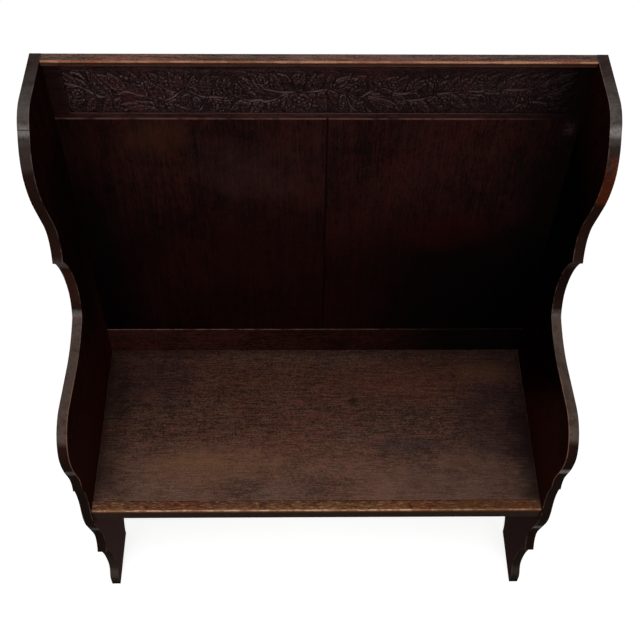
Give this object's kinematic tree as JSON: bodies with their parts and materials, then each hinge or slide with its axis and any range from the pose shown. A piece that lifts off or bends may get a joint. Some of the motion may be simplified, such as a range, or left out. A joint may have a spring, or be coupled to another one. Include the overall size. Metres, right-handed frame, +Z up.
{
  "type": "settle bench",
  "caption": "High-backed settle bench with scrolled plank ends, arched feet, a panelled back under a carved frieze, and a fixed board seat.",
  "frame": {"origin": "on the floor, in the middle of the bench's plan (bounding box)", "axes": "+Z up, -Y towards the sitter's front, +Y towards the back, +X to the right as seen from the front"},
  "size_m": [1.0406, 0.471, 1.354],
  "materials": {
    "oak_ends": "dark stained oak, waxed, worn along the arrises",
    "oak_cap": "dark stained oak, worn pale along its front arris",
    "oak_carved": "dark stained oak, carved, dull wax",
    "oak_panel": "dark stained oak, satin wax",
    "oak_rail": "dark stained oak, satin wax",
    "oak_seat": "dark stained oak, worn by use",
    "oak_nosing": "dark stained oak, worn pale along its front arris",
    "oak_plain": "bare oak, unfinished",
    "oak_peg": "oak end grain",
    "steel_screw": "dulled steel"
  },
  "bodies": {
    "root": {"end_left": "oak_ends", "end_right": "oak_ends", "cap_rail": "oak_cap", "frieze_rail": "oak_carved", "back_panel_left": "oak_panel", "back_panel_right": "oak_panel", "seam_batten": "oak_plain", "bottom_rail": "oak_rail", "seat_board": "oak_seat", "seat_front_rail": "oak_nosing", "seat_ledger": "oak_plain", "seat_bearer_left": "oak_plain", "seat_bearer_right": "oak_plain", "seat_batten": "oak_plain", "glue_blocks": "oak_plain", "pegs_left": "oak_peg", "pegs_right": "oak_peg", "bearer_screws_left": "steel_screw", "bearer_screws_right": "steel_screw", "ledger_screws": "steel_screw"}
  },
  "joints": []
}
